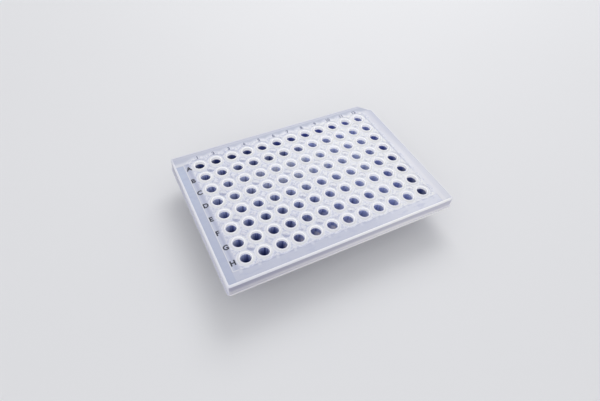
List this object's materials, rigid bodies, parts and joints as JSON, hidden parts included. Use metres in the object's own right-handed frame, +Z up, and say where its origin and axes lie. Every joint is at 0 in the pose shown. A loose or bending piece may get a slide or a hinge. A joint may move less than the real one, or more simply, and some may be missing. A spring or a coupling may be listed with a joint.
{
  "type": "pcr plate",
  "caption": "Half-skirted well plate: a stiff deck with a cut corner and a short skirt, carrying a grid of thin-walled conical wells with raised rims.",
  "frame": {"origin": "under the middle of the well grid, on the surface that the well tips stand on", "axes": "+X along the numbered columns, +Y towards row A, +Z up out of the well mouths"},
  "size_m": [0.1256, 0.0856, 0.0209],
  "materials": {
    "polypropylene": "translucent natural polypropylene, satin"
  },
  "bodies": {
    "root": {"well_plate": "polypropylene"}
  },
  "joints": []
}
